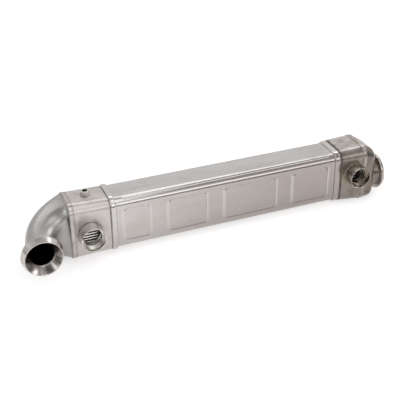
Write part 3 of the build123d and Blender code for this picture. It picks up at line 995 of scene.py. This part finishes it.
# The same edge beside the outlet tank, tinted by the heat and pale on top, with painted shade darkening its
# front
TINTED_RIM = replace(
    RIM_PLATE, name="heat_tinted_plate_edge_stainless", bright="D2CBC5", dull="A89F97", stain="7C726A",
    film=SideFilm(
        "5E534B", SEAM_X + OUTLET_TANK_START, SEAM_X + OUTLET_TANK_END, (MID_Y - 44.0, MID_Y - 36.0),
        strength=0.55,
    ),
)
# Turned bar: sharp highlights that fine tool marks draw out round the axis. The gas inlet's ring is a little
# greyer; its bore is painted black as shade, and its funnel has streaks of painted dark reflection.
TURNED_FLANGE = TurnedFinish(
    name="turned_stainless_flange", bright="D3CFCC", dull="B4AEAA", roughness=(0.14, 0.24), axis=(0, 1, 0),
    bore=SootedBore(
        FLANGE_SEAT, GAS_BORE_RADIUS, start=-4.0, reach=12.0, streaks=((279.0, 25.0), (331.0, 23.0)),
        colour=SOOT, streak="3E3934",
    ),
)
# The inlet tank's port stayed clean, and is nearly white
TURNED_Y = TurnedFinish(
    name="turned_stainless_front", bright="E4E1DE", dull="C9C5C1", roughness=(0.14, 0.24), axis=(0, 1, 0)
)
# The outlet tank's port took a brown tint from the heat
TURNED_TINTED = replace(TURNED_Y, name="turned_stainless_front_tinted", bright="C2BBB4", dull="979087")
# The gas outlet's ring is browned too, and a little less smooth
TURNED_X = TurnedFinish(
    name="turned_stainless_end", bright="C9C2BD", dull="A0988F", roughness=(0.16, 0.28), axis=(1, 0, 0)
)
# The vent's fitting is clean and turned coarser, so its highlights are softer
TURNED_Z = TurnedFinish(
    name="turned_stainless_top", bright="E6E3E0", dull="CCC8C4", roughness=(0.16, 0.28), axis=(0, 0, 1),
    feed=1.5,
)
# Little light gets down the vent, so its thread is painted dark as shade
THREAD = replace(TURNED_Z, name="shaded_stainless_thread", bright="5A5550", dull="35322F")
# Thin brazed strip: the tubes' edges at the front shine through the ports, and the flats behind get painted
# shade
TUBE_STRIP = SheetFinish(
    name="brazed_thin_stainless",
    bright="ECEAE6", dull="DBD8D3", stain="B0AAA2",
    roughness=(0.2, 0.3), streak=(90.0, 4.0, 2.0), stain_size=18.0, stain_share=0.3, wave=0.02,
    film=SideFilm("35322E", *ALL_ALONG, (MID_Y - 30.8, MID_Y - 32.6), strength=0.92),
)
# Weld metal: a dull, faintly brown line with soft ripples that frames each part
WELD = WeldFinish(
    name="weld_metal_as_cooled", bright="ABA5A0", dull="7E756D", roughness=(0.3, 0.45), ripple=1.8
)


@dataclass
class InletEnd:
    """Gas inlet flange, elbow, tube sheet rim, coolant tank, port and vent."""

    workshop: Workshop
    seams: tuple[Union[BoxSeam, RoundSeam], ...] = (
        BoxSeam("elbow_seam", 0.0, INLET_RIM, bead=1.1),
        BoxSeam("inlet_tank_seam", INLET_TANK_START, INLET_RIM, bead=0.9),
        BoxSeam("inlet_lap_seam", INLET_TANK_END, INLET_LAP, bead=0.8),
        RoundSeam("inlet_flange_seam", FLANGE_SEAT, TO_FRONT, radius=24.6, bead=1.1),
        RoundSeam("inlet_port_seam", INLET_PORT, TO_FRONT, radius=24.6, bead=1.3),
        RoundSeam("vent_seam", VENT, VENT_AXIS, radius=8.2, bead=1.1, steps=48),
    )

    def dress(self) -> None:
        """Gives the CAD nodes their finishes."""
        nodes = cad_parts
        self.workshop.wear(nodes["inlet_elbow"], ELBOW_SHEET)
        self.workshop.wear(nodes["inlet_tank"], FORMED_SHEET)
        self.workshop.wear(nodes["inlet_tube_sheet"], RIM_PLATE)
        self.workshop.wear(nodes["inlet_flange"], TURNED_FLANGE)
        self.workshop.wear(nodes["inlet_coolant_port"], TURNED_Y)
        self.workshop.wear(nodes["vent_fitting"], TURNED_Z)

    def build(self) -> None:
        """Builds the seams and the vent's thread."""
        for seam in self.seams:
            piece = seam.build()
            self.workshop.wear(piece, WELD)
            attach(piece, "root")
        thread = VentThread().build()
        self.workshop.wear(thread, THREAD)
        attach(thread, "root")


@dataclass
class Core:
    """Shell with its tube bundle, fins and combs."""

    workshop: Workshop

    def dress(self) -> None:
        """Gives the CAD nodes their finishes."""
        for name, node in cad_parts.items():
            if name.startswith(("gas_tube", "turbulator", "support_comb")):
                self.workshop.wear(node, TUBE_STRIP)
        self.workshop.wear(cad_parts["shell"], SHELL_SHEET)


@dataclass
class OutletEnd:
    """Flared coolant tank, port, tube sheet rim, gas cap and outlet flange."""

    workshop: Workshop
    seams: tuple[Union[BoxSeam, RoundSeam], ...] = (
        BoxSeam("shell_seam", OUTLET_TANK_START, SHELL_END, bead=0.9),
        BoxSeam("outlet_tank_seam", OUTLET_TANK_END, OUTLET_RIM, bead=1.0),
        BoxSeam("cap_seam", CAP_START, OUTLET_RIM, bead=1.0),
        RoundSeam("outlet_port_seam", OUTLET_PORT, OUTLET_PORT_AXIS, radius=22.9, bead=1.5),
        NeckSeam("neck_seam", (SEAM_X + CAP_END, *OUTLET_AXIS), TO_END, radius=31.0, bead=1.4),
        RoundSeam("outlet_flange_seam", (SEAM_X + NECK_END, *OUTLET_AXIS), TO_END, radius=31.1, bead=1.0),
    )

    def dress(self) -> None:
        """Gives the CAD nodes their finishes."""
        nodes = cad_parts
        self.workshop.wear(nodes["outlet_tank"], TINTED_SHEET)
        self.workshop.wear(nodes["outlet_tube_sheet"], TINTED_RIM)
        self.workshop.wear(nodes["outlet_cap"], CAP_SHEET)
        self.workshop.wear(nodes["outlet_coolant_port"], TURNED_TINTED)
        self.workshop.wear(nodes["outlet_flange"], TURNED_X)

    def build(self) -> None:
        """Builds the seams."""
        for seam in self.seams:
            piece = seam.build()
            self.workshop.wear(piece, WELD)
            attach(piece, "root")


@dataclass
class SoftLamp:
    """A rectangular soft lamp that faces a point, in metres."""

    name: str
    place: Point
    target: Point
    size: Span
    radiance: float

    def build(self) -> None:
        """Builds the lamp, with the power that gives its face that radiance."""
        lamp = bpy.data.lights.new(self.name, "AREA")
        lamp.shape = "RECTANGLE"
        lamp.size, lamp.size_y = self.size
        lamp.energy = self.radiance * pi * self.size[0] * self.size[1]
        holder = bpy.data.objects.new(self.name, lamp)
        bpy.context.scene.collection.objects.link(holder)
        heading = Vector(self.target) - Vector(self.place)
        facing = heading.to_track_quat("-Z", "Y").to_matrix().to_4x4()
        holder.matrix_world = Matrix.Translation(self.place) @ facing
        LOG.info("%s: %.1f W", self.name, lamp.energy)


@dataclass
class Studio:
    """Floor, lamps, surroundings and camera, in metres and degrees."""

    floor_size: float = 40.0
    floor_gap: float = 0.0002
    camera_place: Point = (-0.5621, -1.38555, 0.9588)
    azimuth: float = 21.33
    elevation: float = 30.71
    roll: float = -0.6
    lens: float = 79.07
    sensor: float = 36.0
    lamps: tuple[SoftLamp, ...] = (
        SoftLamp("front_lamp", (0.8, -2.1, 1.12), (0.1, 0.0, 0.05), size=(1.9, 0.6), radiance=1.5),
        SoftLamp("left_lamp", (-1.7, -0.6, 0.75), (-0.2, -0.15, 0.0), size=(1.2, 1.0), radiance=0.8),
        SoftLamp("overhead_lamp", (-0.05, -0.45, 1.15), (-0.05, -0.2, 0.0), size=(0.5, 0.75), radiance=1.15),
        SoftLamp("right_lamp", (1.6, -0.2, 1.15), (-0.3, 0.0, 0.05), size=(0.9, 0.9), radiance=2.0),
        SoftLamp("back_lamp", (0.3, 1.05, 1.75), (0.0, 0.0, 0.05), size=(2.6, 0.4), radiance=2.0),
    )
    # Level of the studio's walls and ceiling by the sine of the elevation, behind the cooler and before it,
    # and the Y of a direction over which one wall goes over to the other
    back_wall: tuple[Span, ...] = ((-1.0, 0.5), (0.0, 0.55), (0.3, 0.85), (0.65, 0.85), (1.0, 0.55))
    front_wall: tuple[Span, ...] = (
        (-1.0, 0.3), (0.0, 0.26), (0.18, 0.3), (0.32, 0.82), (0.62, 0.9), (0.74, 0.42), (1.0, 0.55)
    )
    side_wall: Span = (-0.1, 0.6)

    def floor(self) -> None:
        """Lays the floor just under the cooler."""
        bm = bmesh.new()
        bmesh.ops.create_grid(bm, x_segments=2, y_segments=2, size=self.floor_size / 2)
        mesh = bpy.data.meshes.new("studio_floor")
        bm.to_mesh(mesh)
        bm.free()
        floor = bpy.data.objects.new("studio_floor", mesh)
        bpy.context.scene.collection.objects.link(floor)
        mesh.transform(Matrix.Translation((0, 0, cad_box[0].z - self.floor_gap)))
        floor.data.materials.append(FloorFinish().material())

    def surroundings(self) -> None:
        """Makes the world a soft studio: pale behind the cooler, with a dim horizon before it."""
        world = bpy.data.worlds.new("soft_studio")
        world.use_nodes = True
        tree = world.node_tree
        tree.nodes.clear()
        heading = add_node(tree, "ShaderNodeTexCoord")
        parts = add_node(tree, "ShaderNodeSeparateXYZ", None, {0: heading.outputs["Generated"]})
        rise = add_node(tree, MAP_RANGE, None, {0: parts.outputs["Z"], 1: -1.0, 2: 1.0})
        walls = []
        for wall in (self.front_wall, self.back_wall):
            ramp = add_node(tree, "ShaderNodeValToRGB", None, {0: rise.outputs[0]})
            points = ramp.color_ramp.elements
            points[0].position, points[1].position = 0.0, 1.0
            for sine, _ in wall[1:-1]:
                points.new((sine + 1) / 2)
            for point, (_, level) in zip(sorted(points, key=lambda p: p.position), wall):
                point.color = (level, level, level, 1.0)
            walls.append(ramp.outputs[0])
        behind = add_node(
            tree, MAP_RANGE, SMOOTH, {0: parts.outputs["Y"], 1: self.side_wall[0], 2: self.side_wall[1]}
        )
        both = blend(tree, behind.outputs[0], walls[0], walls[1])
        sky = add_node(tree, "ShaderNodeBackground", None, {"Color": both, "Strength": 1.0})
        add_node(tree, "ShaderNodeOutputWorld", None, {"Surface": sky.outputs[0]})
        bpy.context.scene.world = world

    def camera(self) -> None:
        """Places the camera as the photograph's was."""
        turn, tip, tilt = radians(self.azimuth), radians(self.elevation), radians(self.roll)
        ahead = Vector((sin(turn) * cos(tip), cos(turn) * cos(tip), -sin(tip)))
        right = Vector((cos(turn), -sin(turn), 0.0))
        up = right.cross(ahead)
        side = right * cos(tilt) + up * sin(tilt)
        top = up * cos(tilt) - right * sin(tilt)
        lens = bpy.data.cameras.new("photo_camera")
        lens.lens = self.lens
        lens.sensor_width = self.sensor
        lens.dof.use_dof = False
        holder = bpy.data.objects.new("photo_camera", lens)
        bpy.context.scene.collection.objects.link(holder)
        axes = Matrix((side, top, -ahead)).transposed().to_4x4()
        holder.matrix_world = Matrix.Translation(self.camera_place) @ axes
        bpy.context.scene.camera = holder

    def build(self) -> None:
        """Builds the whole studio."""
        self.floor()
        self.surroundings()
        for lamp in self.lamps:
            lamp.build()
        self.camera()
        bpy.context.scene.view_settings.view_transform = "Standard"


def main() -> None:
    """Builds the classes in order."""
    logging.basicConfig(level=logging.INFO, format="%(name)s %(message)s")
    Studio().build()
    workshop = Workshop()
    inlet_end, core, outlet_end = InletEnd(workshop), Core(workshop), OutletEnd(workshop)
    inlet_end.dress()
    inlet_end.build()
    core.dress()
    outlet_end.dress()
    outlet_end.build()


if __name__ == "__main__":
    main()
